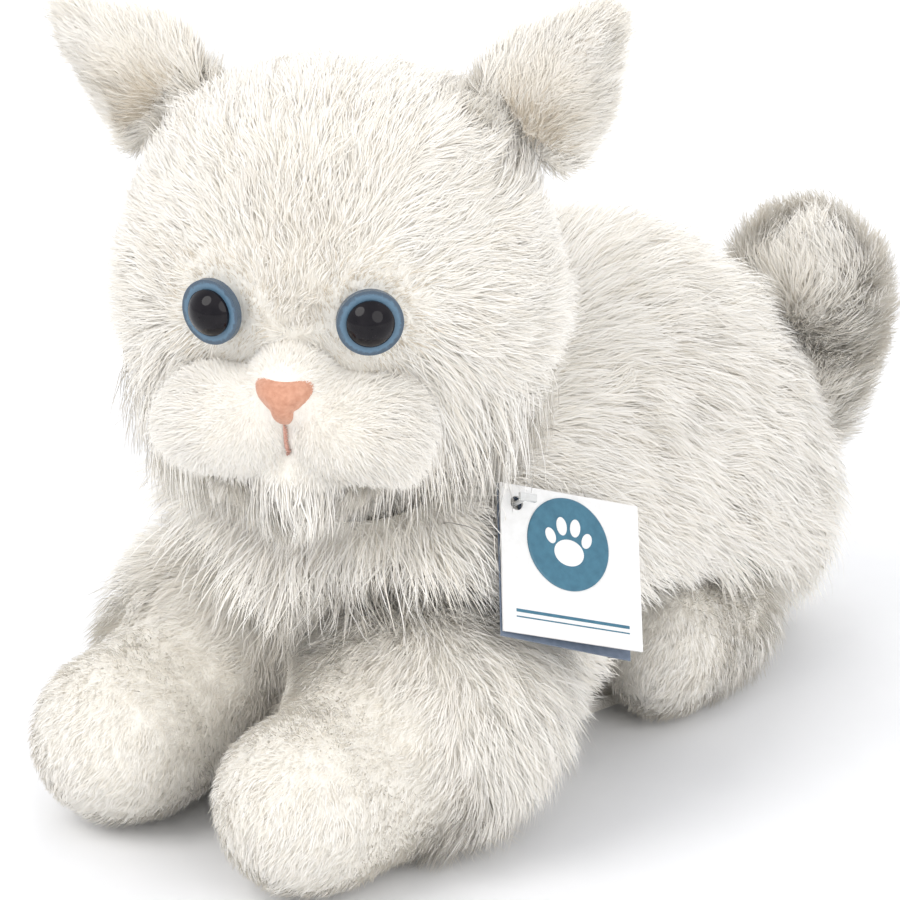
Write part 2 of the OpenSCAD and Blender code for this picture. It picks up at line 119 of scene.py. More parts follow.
def new_material(name, colour, roughness, **sockets):
    mat = bpy.data.materials.new(name)
    mat.use_nodes = True
    mat.diffuse_color = (*colour, 1)
    shader = mat.node_tree.nodes["Principled BSDF"]
    shader.inputs["Base Color"].default_value = (*colour, 1)
    shader.inputs["Roughness"].default_value = roughness
    for key, value in sockets.items():
        shader.inputs[key.replace("_", " ")].default_value = value
    return mat


def node(mat, kind, **values):
    made = mat.node_tree.nodes.new(kind)
    for key, value in values.items():
        made.inputs[key.replace("_", " ")].default_value = value
    return made


def link(mat, a, b):
    mat.node_tree.links.new(a, b)


def coordinates(mat):
    return node(mat, "ShaderNodeTexCoord").outputs["Object"]


def add_bump(mat, height, distance, strength=0.5):
    bump = node(mat, "ShaderNodeBump", Strength=strength, Distance=distance)
    link(mat, height, bump.inputs["Height"])
    link(mat, bump.outputs["Normal"], mat.node_tree.nodes["Principled BSDF"].inputs["Normal"])


def ramp(mat, factor, *stops):
    made = node(mat, "ShaderNodeValToRGB")
    elements = made.color_ramp.elements
    while len(elements) < len(stops):
        elements.new(0.5)
    for element, (place, colour) in zip(elements, stops):
        element.position = place
        element.color = (*colour, 1)
    link(mat, factor, made.inputs["Fac"])
    return made.outputs["Color"]


def noise(mat, scale, detail=3.0, stretch=None):
    made = node(mat, "ShaderNodeTexNoise", Scale=scale, Detail=detail)
    where = coordinates(mat)
    if stretch:
        mapping = node(mat, "ShaderNodeMapping", Scale=stretch)
        link(mat, where, mapping.inputs["Vector"])
        where = mapping.outputs["Vector"]
    link(mat, where, made.inputs["Vector"])
    return made.outputs["Fac"]


def colour_in(mat, output):
    link(mat, output, mat.node_tree.nodes["Principled BSDF"].inputs["Base Color"])


def dress(name, mat):
    """Gives a CAD node one material of its own."""
    NODES[name].data.materials.clear()
    NODES[name].data.materials.append(mat)


def fibre_material(name, dark, light, roughness=0.9):
    """Knitted backing with dense pile: mottled colour and a fibrous bump."""
    mat = new_material(name, light, roughness, Sheen_Weight=0.25, Sheen_Roughness=0.5)
    colour_in(mat, ramp(mat, noise(mat, 260, 4), (0.3, dark), (0.7, light)))
    add_bump(mat, noise(mat, 1400, 4, (1, 1, 0.35)), 0.0006, 0.7)
    return mat


def pile_material(name, colour, sheen=0.35):
    return new_material(
        name, colour, 0.72, Sheen_Weight=sheen, Sheen_Roughness=0.45,
        Specular_IOR_Level=0.25, Subsurface_Weight=0.0,
    )


WHITE = pile_material("pile_white", (0.955, 0.925, 0.865))
CREAM = pile_material("pile_cream", (0.93, 0.885, 0.80))
SHADE = pile_material("pile_shade", (0.85, 0.80, 0.71))
# These two darker tones are painted shade, used only round the eyes and in the ear hollows.
PAINTED_SHADE_TAN = pile_material("pile_painted_shade_tan", (0.70, 0.62, 0.50))
PAINTED_SHADE_DEEP = pile_material("pile_painted_shade_deep", (0.56, 0.49, 0.385))
PILES = [WHITE, CREAM, SHADE, PAINTED_SHADE_TAN, PAINTED_SHADE_DEEP]
IS_WHITE, IS_CREAM, IS_SHADE, IS_PAINTED_SHADE_TAN, IS_PAINTED_SHADE_DEEP = range(len(PILES))
SKIN = fibre_material("plush_backing", (0.80, 0.76, 0.68), (0.91, 0.88, 0.81))
SKIN_SHORT = fibre_material("short_plush_backing", (0.82, 0.78, 0.70), (0.92, 0.89, 0.82))
# Darker backing of the ear linings: painted shade of the ear hollows.
SKIN_HOLLOW_SHADE = fibre_material("hollow_shade_plush_backing", (0.70, 0.63, 0.53), (0.82, 0.76, 0.66))

# ------------------------------------------------------------------ skins from the CAD covers


def arrays(mesh):
    verts = np.empty(len(mesh.vertices) * 3)
    mesh.vertices.foreach_get("co", verts)
    mesh.calc_loop_triangles()
    tris = np.empty(len(mesh.loop_triangles) * 3, np.int64)
    mesh.loop_triangles.foreach_get("vertices", tris)
    return verts.reshape(-1, 3), tris.reshape(-1, 3)


def vertex_normals(verts, tris):
    cross = np.cross(verts[tris[:, 1]] - verts[tris[:, 0]], verts[tris[:, 2]] - verts[tris[:, 0]])
    total = np.zeros_like(verts)
    for k in range(3):
        for axis in range(3):
            total[:, axis] += np.bincount(tris[:, k], cross[:, axis], len(verts))
    return unit(total)


def relax(verts, edges, rounds, amount=0.5):
    a = np.concatenate([edges[:, 0], edges[:, 1]])
    b = np.concatenate([edges[:, 1], edges[:, 0]])
    count = np.maximum(np.bincount(a, minlength=len(verts)), 1)[:, None]
    for _ in range(rounds):
        mean = np.stack([np.bincount(a, verts[b, k], len(verts)) for k in range(3)], 1) / count
        verts = verts + (mean - verts) * amount
    return verts


def biggest_island(mesh):
    bm = bmesh.new()
    bm.from_mesh(mesh)
    bm.verts.ensure_lookup_table()
    seen, groups = set(), []
    for start in bm.verts:
        if start.index in seen:
            continue
        group, stack = [], [start]
        seen.add(start.index)
        while stack:
            v = stack.pop()
            group.append(v)
            for e in v.link_edges:
                w = e.other_vert(v)
                if w.index not in seen:
                    seen.add(w.index)
                    stack.append(w)
        groups.append(group)
    groups.sort(key=len)
    loose = [v for group in groups[:-1] for v in group]
    if loose:
        bmesh.ops.delete(bm, geom=loose, context="VERTS")
    bm.to_mesh(mesh)
    bm.free()


def remeshed(name, sources, voxel):
    """One closed quad skin round the given meshes."""
    bm = bmesh.new()
    for mesh in sources:
        bm.from_mesh(mesh)
    joined = bpy.data.meshes.new(name + "_raw")
    bm.to_mesh(joined)
    bm.free()
    temp = bpy.data.objects.new(name + "_raw", joined)
    bpy.context.scene.collection.objects.link(temp)
    modifier = temp.modifiers.new("remesh", "REMESH")
    modifier.mode = "VOXEL"
    modifier.voxel_size = voxel
    graph = bpy.context.evaluated_depsgraph_get()
    mesh = bpy.data.meshes.new_from_object(temp.evaluated_get(graph))
    mesh.name = name
    bpy.data.objects.remove(temp)
    bpy.data.meshes.remove(joined)
    biggest_island(mesh)
    return mesh


RAYS = [Vector(way) for way in ((0.31, 0.52, 0.796), (-0.62, 0.23, -0.75), (0.11, -0.94, 0.32))]
MOST_CROSSINGS = 40
FAR_APART = 0.01  # skins whose boxes are further apart than this are not compared


class Skin:
    """A piece's skin mesh with its arrays, its normals and the weight of its pile."""

    def __init__(self, name, body, slot, material, sources, voxel, inset, rounds, replaced=()):
        mesh = remeshed(name, sources, voxel)
        verts, _ = arrays(mesh)
        edges = np.empty(len(mesh.edges) * 2, np.int64)
        mesh.edges.foreach_get("vertices", edges)
        edges = edges.reshape(-1, 2)
        verts = relax(verts, edges, rounds)
        mesh.vertices.foreach_set("co", verts.ravel())
        mesh.update()
        _, tris = arrays(mesh)
        verts = verts - vertex_normals(verts, tris) * inset
        verts = relax(verts, edges, 3)
        verts[:, 2] = np.maximum(verts[:, 2], 0.0006)
        mesh.vertices.foreach_set("co", verts.ravel())
        mesh.update()
        mesh.polygons.foreach_set("use_smooth", np.ones(len(mesh.polygons), bool))
        mesh.materials.clear()
        mesh.materials.append(material)
        self.name, self.body, self.slot = name, body, slot
        self.verts, self.tris = verts, tris
        self.normals = vertex_normals(verts, tris)
        self.weight = np.ones(len(verts))
        self.tree = BVHTree.FromPolygons(verts.tolist(), tris.tolist())
        self.obj = add_object(name, mesh, body, slot, *replaced)

    def holds(self, point):
        """True if a point is inside this closed skin: at least two of three rays cross it an odd
        number of times."""
        votes = 0
        for way in RAYS:
            at, count = Vector(point), 0
            while count < MOST_CROSSINGS:
                hit = self.tree.ray_cast(at, way)[0]
                if hit is None:
                    break
                count += 1
                at = hit + way * 1e-5
            votes += count % 2
        return votes >= 2

    def depth(self, point):
        """How deep a point lies inside this skin, or 0 outside it."""
        return self.tree.find_nearest(Vector(point))[3] if self.holds(point) else 0.0

    def push_out(self, points, margin=0.0012, reach=0.02):
        """Lifts points that have sunk into this skin back to just above it."""
        lo, hi = self.verts.min(0), self.verts.max(0)
        for i in np.nonzero(np.all((points > lo) & (points < hi), axis=1))[0]:
            place, normal, _, dist = self.tree.find_nearest(Vector(points[i]))
            if dist < reach and (Vector(points[i]) - place).dot(normal) < margin:
                if self.holds(points[i]):
                    points[i] = np.array(place + normal * margin)
        return points

    def cover_by(self, others, margin=0.002):
        """No pile grows where this skin lies deep inside another one."""
        lo, hi = self.verts.min(0), self.verts.max(0)
        probe = self.verts + self.normals * margin
        for other in others:
            olo, ohi = other.verts.min(0), other.verts.max(0)
            if other is self or np.any(olo > hi + FAR_APART) or np.any(ohi < lo - FAR_APART):
                continue
            near = np.nonzero(np.all((probe > olo) & (probe < ohi), axis=1))[0]
            for i in near:
                self.weight[i] *= 1 - float(smooth(0.0005, 0.004, other.depth(probe[i])))


def node_meshes(*names):
    return [NODES[n].data for n in names]


# Head frame: X to the cat's left, forward from the face, Z up, origin inside the head
IRIS = {s: centre("eye_%s_iris" % s) for s in ("left", "right")}
HEAD_X = unit(np.array(joint("head_nod")["axis"]))
HEAD_F = np.array([HEAD_X[1], -HEAD_X[0], 0.0])
HEAD_Z = np.array([0.0, 0.0, 1.0])
HEAD_C = (IRIS["left"] + IRIS["right"]) / 2 - HEAD_F * 0.0485 - HEAD_Z * 0.004


def along_head_axes(out):
    """Directions given in the head's own axes, turned into the row frame."""
    return out[:, 0:1] * HEAD_X - out[:, 1:2] * HEAD_F + out[:, 2:3] * HEAD_Z


def to_head_mm(p):
    q = np.asarray(p) - HEAD_C
    return np.stack([q @ HEAD_X, -(q @ HEAD_F), q @ HEAD_Z], -1) / MM


def from_head_mm(q):
    q = np.asarray(q, float) * MM
    return HEAD_C + q[..., 0:1] * HEAD_X - q[..., 1:2] * HEAD_F + q[..., 2:3] * HEAD_Z


def blob(name, at_mm, size_mm):
    """An ellipsoid in the head frame, used only as material for a remesh."""
    bm = bmesh.new()
    bmesh.ops.create_uvsphere(bm, u_segments=32, v_segments=20, radius=1)
    for v in bm.verts:
        v.co = Vector(from_head_mm(np.array(v.co) * size_mm + at_mm))
    mesh = bpy.data.meshes.new(name)
    bm.to_mesh(mesh)
    bm.free()
    return mesh


def stuffed_skin(part, slot, material, voxel, inset, rounds):
    """The skin that stands for a cover and its stuffing."""
    nodes = (part + "_cover", part + "_stuffing")
    return Skin(part + "_skin", part, slot, material, node_meshes(*nodes), voxel, inset, rounds, nodes)


SIDES = {"left": 1, "right": -1}
torso = stuffed_skin("torso", "plush_long", SKIN, 0.0026, 0.0035, 14)
neck = stuffed_skin("neck", "plush_long", SKIN, 0.003, 0.0025, 4)
head = stuffed_skin("head", "plush_long", SKIN, 0.0022, 0.0035, 10)
muzzle_parts = [blob("pad", (s * 15.5, -45.5, -25), (17.5, 17, 14.5)) for s in (1, -1)]
muzzle_parts.append(blob("bridge", (0, -43.5, -14), (12.5, 17, 12)))
muzzle_parts.append(blob("chin", (0, -43, -37.5), (14.5, 14, 9.5)))
muzzle = Skin("muzzle_skin", "head", "plush_short", SKIN_SHORT, muzzle_parts, 0.0012, 0.0008, 5,
              ("muzzle_cover", "muzzle_stuffing", "chin_cover"))
tail = stuffed_skin("tail", "plush_long", SKIN, 0.0022, 0.0035, 8)
forelegs, hind_legs, ears, linings = {}, {}, {}, {}
for side in SIDES:
    forelegs[side] = stuffed_skin("foreleg_" + side, "plush_short", SKIN_SHORT, 0.002, 0.0022, 8)
    hind_legs[side] = stuffed_skin("hind_leg_" + side, "plush_short", SKIN_SHORT, 0.002, 0.0022, 8)
    ear = "ear_" + side
    ears[side] = Skin(ear + "_skin", ear, "plush_long", SKIN, node_meshes(ear + "_cover"),
                      0.0011, 0.0003, 4, (ear + "_cover",))
    linings[side] = Skin(ear + "_lining_skin", ear, "ear_lining", SKIN_HOLLOW_SHADE, node_meshes(ear + "_lining"),
                         0.0009, 0.0, 2, (ear + "_lining",))

PADDED = [torso, neck, head, muzzle, tail, *forelegs.values(), *hind_legs.values()]
SKINS = [*PADDED, *ears.values(), *linings.values()]
for skin in SKINS:
    skin.cover_by(SKINS)

# ------------------------------------------------------------------ the card tag's own frame

emblem_verts, _ = arrays(NODES["tag_emblem"].data)
EMBLEM_C = centre("tag_emblem")
TAG_U = -unit(np.array(joint("tag_open")["axis"]))
_, _, axes = np.linalg.svd(emblem_verts - emblem_verts.mean(0))
TAG_N = axes[2] if axes[2][0] > 0 else -axes[2]
TAG_R = np.cross(TAG_U, TAG_N)
leaf_verts, _ = arrays(NODES["tag_front_leaf"].data)
LEAF = [(float((leaf_verts @ a).min()), float((leaf_verts @ a).max())) for a in (TAG_R, TAG_U, TAG_N)]


def behind_card(p, reach=0.0014):
    """Pushes the points of strands that would stick through the card back behind it."""
    r, u, n = p @ TAG_R, p @ TAG_U, p @ TAG_N
    corner = (r - LEAF[0][0]) + (LEAF[1][1] - u) < 0.011
    hit = (r > LEAF[0][0] - 0.001) & (r < LEAF[0][1] + 0.001) & (u > LEAF[1][0] - 0.002)
    hit &= (u < LEAF[1][1] + 0.001) & (n > LEAF[2][0] - reach) & (n < LEAF[2][1] + 0.03) & ~corner
    push = np.where(hit, LEAF[2][0] - reach - n, 0.0)
    return p + push[:, None] * TAG_N


# ------------------------------------------------------------------ pile

LIMIT = 38000  # most strands that one mesh piece holds
BARE_BELOW = 0.0016  # a skin lower than this grows no pile
SHORTEST = 0.0004  # strands shorter than this are left out
LOWEST = 0.0004  # height over the floor at which strands are stopped
SUNK = 0.0005  # depth of a strand's root under its skin
MOST_PULL = 0.008  # how far a strand may be drawn towards its lock


def grow(skin, label, amount, length, flow, lift, width, seed, tone, segments=3, clump=0.5,
         clump_gap=0.0035, droop=0.1, spread=0.35, pushes=()):
    """Grows pile on a skin: amount strands, each a tapered blade of a few segments.
    length, flow and tone are functions of the roots; lift is the two angles, in degrees, that
    a strand makes with the skin at its middle and at its tip; clump draws neighbouring tips
    together into locks."""
    rng = np.random.default_rng(seed)
    n = int(amount * DENSITY)
    a, b, c = (skin.verts[skin.tris[:, k]] for k in range(3))
    area = np.linalg.norm(np.cross(b - a, c - a), axis=1) / 2
    area *= skin.weight[skin.tris].mean(1)
    area[(a[:, 2] + b[:, 2] + c[:, 2]) / 3 < BARE_BELOW] = 0
    pick = np.searchsorted(np.cumsum(area), rng.random(n) * area.sum())
    pick = np.minimum(pick, len(area) - 1)
    u, v = rng.random((2, n))
    flip = u + v > 1
    u[flip], v[flip] = 1 - u[flip], 1 - v[flip]
    w = 1 - u - v
    corner = skin.tris[pick]

    def mix(x):
        return x[corner[:, 0]] * w[:, None] + x[corner[:, 1]] * u[:, None] + x[corner[:, 2]] * v[:, None]

    root, normal = mix(skin.verts), unit(mix(skin.normals))
    long = length(root, normal)
    keep = long > SHORTEST
    root, normal, long = root[keep], normal[keep], long[keep]
    n = len(root)
    along = flow(root, normal)
    along = unit(along - np.einsum("ij,ij->i", along, normal)[:, None] * normal)
    side = np.cross(normal, along)
    swirl = waves(root, 0.03, seed + 1) * 0.35 + waves(root, 0.009, seed + 2) * 0.25
    swirl = swirl + rng.normal(0, spread, n)
    along = along * np.cos(swirl)[:, None] + side * np.sin(swirl)[:, None]
    side = np.cross(normal, along)
    long = long * rng.uniform(0.72, 1.12, n) * (1 + 0.12 * waves(root, 0.016, seed + 3))
    wobble = rng.normal(0, 7, n) + 6 * waves(root, 0.012, seed + 4)
    down = np.array([0, 0, -1.0])
    places = [root - normal * SUNK]
    for k in range(segments):
        t = k / max(segments - 1, 1)
        angle = np.radians(lift[0] * (1 - t) + lift[1] * t + wobble)
        way = unit(along * np.cos(angle)[:, None] + normal * np.sin(angle)[:, None] + down * droop * t)
        places.append(places[-1] + way * (long / segments)[:, None])
    if clump:
        leaders = rng.choice(n, max(8, int(area.sum() / clump_gap**2)) if area.sum() > 0 else 8)
        leaders = np.unique(leaders)
        tree = KDTree(len(leaders))
        for i, j in enumerate(leaders):
            tree.insert(Vector(root[j]), i)
        tree.balance()
        own = np.array([tree.find(Vector(r))[1] for r in root])
        lead = leaders[own]
        pull = clump * (0.65 + 0.35 * waves(root, 0.02, seed + 5))
        for k in range(1, segments + 1):
            t = (k / segments) ** 1.6
            target = places[k][lead] + (root - root[lead]) * 0.15
            shift = (target - places[k]) * (pull * t)[:, None]
            moved = np.maximum(np.linalg.norm(shift, axis=1), 1e-9)
            places[k] = places[k] + shift * np.minimum(1, MOST_PULL / moved)[:, None]
    for push in pushes:
        places[1:] = [push(p) for p in places[1:]]
    for p in places:
        p[:, 2] = np.maximum(p[:, 2], LOWEST)
    tone_index = tone(root, normal, rng)
    roll = rng.normal(0, 0.45, n)
    first = unit(places[1] - places[0])
    flat = unit(np.cross(first, normal))
    edge = flat * np.cos(roll)[:, None] + normal * np.sin(roll)[:, None]
    shine = unit(normal - np.einsum("ij,ij->i", normal, first)[:, None] * first)
    face = unit(normal * 0.7 + shine * 0.3 + edge * rng.normal(0, 0.13, n)[:, None])
    wide = width * rng.uniform(0.75, 1.25, n)
    taper = np.linspace(1.0, 0.55, segments)
    per = 2 * segments + 1
    points = np.empty((n, per, 3))
    for k in range(segments):
        half = edge * (wide * taper[k] / 2)[:, None]
        points[:, 2 * k] = places[k] - half
        points[:, 2 * k + 1] = places[k] + half
    points[:, per - 1] = places[segments]
    loops, starts, at = [], [], 0
    for k in range(segments - 1):
        starts.append(at)
        loops += [2 * k, 2 * k + 1, 2 * k + 3, 2 * k + 2]
        at += 4
    starts.append(at)
    loops += [per - 3, per - 2, per - 1]
    loops, starts = np.array(loops), np.array(starts)
    pieces = max(1, math.ceil(n / LIMIT))
    order = rng.permutation(n)
    for part in range(pieces):
        ids = order[part::pieces]
        m = len(ids)
        name = "%s_pile_%d" % (label, part + 1) if pieces > 1 else label + "_pile"
        mesh = bpy.data.meshes.new(name)
        mesh.vertices.add(m * per)
        mesh.vertices.foreach_set("co", points[ids].ravel())
        mesh.loops.add(m * len(loops))
        used = loops[None] + (np.arange(m) * per)[:, None]
        mesh.loops.foreach_set("vertex_index", used.ravel().astype(np.int32))
        mesh.polygons.add(m * len(starts))
        begins = starts[None] + (np.arange(m) * len(loops))[:, None]
        mesh.polygons.foreach_set("loop_start", begins.ravel().astype(np.int32))
        for material in PILES:
            mesh.materials.append(material)
        mesh.polygons.foreach_set("material_index", np.repeat(tone_index[ids], len(starts)).astype(np.int32))
        mesh.polygons.foreach_set("use_smooth", np.ones(m * len(starts), bool))
        mesh.update(calc_edges=True)
        mesh.normals_split_custom_set_from_vertices(np.repeat(face[ids], per, axis=0).tolist())
        add_object(name, mesh, skin.body, skin.slot)


def white_tones(root, normal, rng):
    """Mostly white with cream and shaded strands in soft patches."""
    patch = waves(root, 0.045, 11) * 0.10 + waves(root, 0.012, 12) * 0.08
    chance = rng.random(len(root)) + patch
    return np.where(chance > 0.93, IS_SHADE, np.where(chance > 0.62, IS_CREAM, IS_WHITE))


def eye_distance(root):
    return np.minimum(*(np.linalg.norm(root - IRIS[s], axis=1) for s in SIDES)) / MM


NOSE = centre("nose_patch")


def head_tones(root, normal, rng):
    """Mostly white, with painted shade in tan strands round the eyes and in shaded strands between and above
    them.
    """
    tones = white_tones(root, normal, rng)
    near = eye_distance(root)
    chance = rng.random(len(root))
    # Painted shade round the eyes, where they sit into the fur.
    tones = np.where((near < 12) & (chance < 0.5), IS_PAINTED_SHADE_TAN, tones)
    tones = np.where((near >= 12) & (near < 17) & (chance < 0.12), IS_PAINTED_SHADE_TAN, tones)
    q = to_head_mm(root)
    # Painted shade down the middle of the forehead, between and above the eyes.
    between = np.exp(-(q[:, 0] / 13) ** 2) * smooth(-12, 5, q[:, 2]) * smooth(40, 15, q[:, 2]) * (q[:, 1] < 0)
    return np.where((chance < between * 0.45) & (tones < IS_SHADE), IS_SHADE, tones)


EAR_ROOTS = [np.array(joint("ear_%s_fold" % s)["pos_m"]) for s in SIDES]
EAR_TIPS = [skin.verts[np.argmax(skin.verts[:, 2])] for skin in (ears[s] for s in SIDES)]


def near_ear(root):
    """1 beside an ear's base, fading to 0 away from it."""
    near = np.minimum(*(np.linalg.norm(root - at, axis=1) for at in EAR_ROOTS)) / MM
    return smooth(27, 14, near)


def head_flow(root, normal):
    q = to_head_mm(root)
    out = unit(q - np.array([0, -52, -6]))
    out[:, 1] += 0.35
    low = smooth(12, -28, q[:, 2])
    out[:, 2] -= 1.0 * low + 0.15
    out[:, 1] -= 0.35 * smooth(-20, -40, q[:, 2])
    world = along_head_axes(out)
    for s in SIDES:
        away = root - IRIS[s]
        d = np.linalg.norm(away, axis=1) / MM
        world = world + unit(away) * (2.2 * np.exp(-((d / 13) ** 2)))[:, None]
    for at, tip in zip(EAR_ROOTS, EAR_TIPS):
        near = smooth(27, 14, np.linalg.norm(root - at, axis=1) / MM)
        world = world * (1 - near)[:, None] + unit(tip - root) * near[:, None]
    return world


def head_length(root, normal):
    q = to_head_mm(root)
    cheek = smooth(14, 44, np.abs(q[:, 0])) * smooth(18, -22, q[:, 2])
    under = smooth(-22, -40, q[:, 2])
    back = smooth(-5, 30, q[:, 1])
    long = 8.5 + np.maximum(8.5 * cheek, 13 * under) + 3.5 * back
    d = eye_distance(root)
    long = long * (0.25 + 0.75 * smooth(8, 24, d))
    long = np.where(d < 8.2, 0, long)
    muzzle_near = np.linalg.norm((q - np.array([0, -50, -20])) / np.array([38, 22, 20]), axis=1)
    short = 0.55 + 0.45 * smooth(0.7, 1.2, muzzle_near)
    return (long * np.where(q[:, 2] < -14, np.maximum(short, 0.8), short) + 7 * near_ear(root)) * MM


def ruff_flow(root, normal):
    """Long tufts hang from the chin and the lower cheeks over the chest."""
    q = to_head_mm(root)
    aside = 0.5 * np.sign(q[:, 0]) * smooth(6, 40, np.abs(q[:, 0]))
    out = np.stack([aside, np.full(len(q), -0.35), np.full(len(q), -1.0)], 1)
    return along_head_axes(out)


def ruff_length(root, normal):
    q = to_head_mm(root)
    band = smooth(-6, -24, q[:, 2]) * smooth(30, 6, q[:, 1])
    return 30 * band * (band > 0.25) * MM


SEAT = HEAD_C + HEAD_Z * -0.002


def mane_flow(root, normal):
    """The fur round the neck opening fans outwards and falls over the shoulders and chest."""
    out = unit((root - SEAT) * np.array([1, 1, 0.0]))
    return out - np.array([0, 0, 0.8])


def mane_length(root, normal):
    p, far = root / MM, np.linalg.norm(root - SEAT, axis=1) / MM
    front = smooth(-20, -55, p[:, 1])
    long = 13 + 13 * smooth(62, 72, far)
    return long * (far > 61.2) * smooth(90, 76, far) * (far < 86) * front * (p[:, 2] > 50) * MM


def ear_tones(root, rng, at):
    """Painted shade in the ear hollow: deepest at its bottom, turning to cream and white towards the tip and
    edges.
    """
    far = np.linalg.norm(root - at, axis=1) / MM + rng.normal(0, 3.0, len(root))
    return np.select([far < 7, far < 11, far < 16, far < 24],
                     [IS_PAINTED_SHADE_DEEP, IS_PAINTED_SHADE_TAN, IS_SHADE, IS_CREAM], IS_WHITE)


def muzzle_flow(root, normal):
    q = to_head_mm(root)
    out = unit(q - np.array([0, -64, -14]))
    out[:, 2] -= 0.25
    return along_head_axes(out)


def muzzle_length(root, normal):
    """Short pile: none on the nose, shortest down the line below it, longer towards the cheeks."""
    q = to_head_mm(root)
    crease = smooth(0.2, 3.2, np.abs(q[:, 0]) + (q[:, 2] > -18) * 4)
    edge = np.maximum(smooth(15, 30, np.abs(q[:, 0])), smooth(-44, -32, q[:, 1]))
    long = (3.0 + 6.5 * edge) * (0.35 + 0.65 * crease)
    nose = np.linalg.norm(root - NOSE, axis=1) / MM
    return np.where(nose < 5.5, 0, long * (0.4 + 0.6 * smooth(6, 12, nose))) * MM


def beard_length(root, normal):
    q = to_head_mm(root)
    return 15 * smooth(-34, -41, q[:, 2]) * (q[:, 2] < -35) * MM


def torso_flow(root, normal):
    """Fur lies back along the body and down its sides, the chest and the rump."""
    p = root / MM
    chest = smooth(-62, -90, p[:, 1])
    rump = smooth(60, 100, p[:, 1])
    sidewards = np.abs(normal[:, 0])
    return np.stack([0.35 * np.sign(p[:, 0]) * sidewards + 0.25 * chest * np.sign(p[:, 0]),
                     1.0 - 1.3 * chest - 0.4 * rump,
                     -0.15 - 0.75 * sidewards - 1.2 * chest - 0.8 * rump], 1)


def torso_length(root, normal):
    p = root / MM
    hip = smooth(5, 45, p[:, 1]) * smooth(75, 45, p[:, 2])
    back = smooth(-40, -5, p[:, 1]) * smooth(90, 120, p[:, 2])
    return (15 + 7.5 * hip + 5 * back) * MM


def neck_flow(root, normal):
    return np.stack([0.2 * normal[:, 0], -0.3 + 0 * root[:, 0], -1 + 0 * root[:, 0]], 1)


def tail_flow(root, normal):
    p = root / MM
    up = smooth(45, 80, p[:, 2])
    return np.stack([0.15 + 0.3 * normal[:, 0], 0.6 * (1 - up) - 0.35 * up, 0.9 + 0 * up], 1)


def foreleg_flow(root, normal):
    p = root / MM
    shoulder = smooth(-98, -74, p[:, 1])
    s = np.sign(p[:, 0])
    down = -0.25 - 0.9 * shoulder - 0.5 * smooth(-118, -138, p[:, 1])
    return np.stack([s * (0.15 + 0.5 * shoulder), -1 + 1.1 * shoulder, down], 1)


def foreleg_length(root, normal):
    p = root / MM
    shoulder = smooth(-104, -78, p[:, 1])
    return (4.6 + 12.5 * shoulder) * MM


def skirt_length(root, normal):
    """Long fur on the flanks and rump hangs over the hind legs."""
    p = root / MM
    long = 24 * smooth(20, 45, p[:, 1]) * smooth(66, 50, p[:, 2])
    return long * (p[:, 2] > 24) * (normal[:, 2] > -0.75) * MM


def hind_flow(root, normal):
    p = root / MM
    return np.stack([np.sign(p[:, 0]) * 0.25, -1 + 0 * p[:, 0], -0.5 - 0.3 * np.abs(normal[:, 0])], 1)


def hind_length(root, normal):
    return (4.8 + 6 * smooth(28, 48, root[:, 1] / MM)) * MM


def even(length):
    """The same length all over a skin."""
    return lambda root, normal: np.full(len(root), length)


grow(torso, "torso", 100000, torso_length, torso_flow, (52, 18), 0.00032, 100, white_tones,
     pushes=(behind_card,))
grow(torso, "skirt", 11000, skirt_length, torso_flow, (50, 8), 0.00034, 170, white_tones,
     segments=4, droop=0.7, clump=0.55, clump_gap=0.006)
grow(neck, "neck", 7000, even(0.013), neck_flow, (50, 20), 0.00034, 150, white_tones, pushes=(behind_card,))
grow(head, "head", 86000, head_length, head_flow, (44, 12), 0.00030, 200, head_tones)
grow(head, "ruff", 18000, ruff_length, ruff_flow, (60, 16), 0.00034, 250, white_tones, segments=4, droop=1.0,
     clump=0.55, clump_gap=0.006, pushes=(torso.push_out, behind_card))
grow(torso, "mane", 26000, mane_length, mane_flow, (74, 24), 0.00034, 270, white_tones, segments=4, droop=0.4,
     clump=0.55, clump_gap=0.006, pushes=(torso.push_out, behind_card))
grow(muzzle, "beard", 9000, beard_length, ruff_flow, (58, 20), 0.00030, 290, white_tones,
     segments=4, droop=0.9, clump=0.5, clump_gap=0.004, pushes=(torso.push_out,))
grow(muzzle, "muzzle", 34000, muzzle_length, muzzle_flow, (44, 22), 0.00026, 300, white_tones, segments=2,
     clump=0.2, clump_gap=0.002)
grow(tail, "tail", 30000, even(0.0165), tail_flow, (50, 22), 0.00034, 400, white_tones)
for i, side in enumerate(SIDES):
    grow(forelegs[side], "foreleg_" + side, 30000, foreleg_length, foreleg_flow, (50, 22), 0.00036,
         500 + 10 * i, white_tones, segments=2, clump=0.4, clump_gap=0.0025)
    grow(hind_legs[side], "hind_leg_" + side, 14000, hind_length, hind_flow, (50, 24), 0.00036, 600 + 10 * i,
         white_tones, segments=2, clump=0.4, clump_gap=0.0025)
    root_at = np.array(joint("ear_%s_fold" % side)["pos_m"])
    far = ears[side].verts[np.argmax(np.linalg.norm(ears[side].verts - root_at, axis=1))]
    up = unit(far - root_at)

    def ear_flow(root, normal, up=up, at=root_at):
        return up + unit(root - at) * 0.6

    def lining_tones(root, normal, rng, at=root_at):
        return ear_tones(root, rng, at)

    grow(ears[side], "ear_" + side, 15000, even(0.0105), ear_flow, (34, 16), 0.00034, 700 + 10 * i,
         white_tones, segments=2, clump=0.35, clump_gap=0.0025)
    grow(linings[side], "ear_%s_lining" % side, 8000, even(0.0058), ear_flow, (40, 22), 0.00028, 750 + 10 * i,
         lining_tones, segments=2, clump=0.3, clump_gap=0.002)

# ------------------------------------------------------------------ eyes


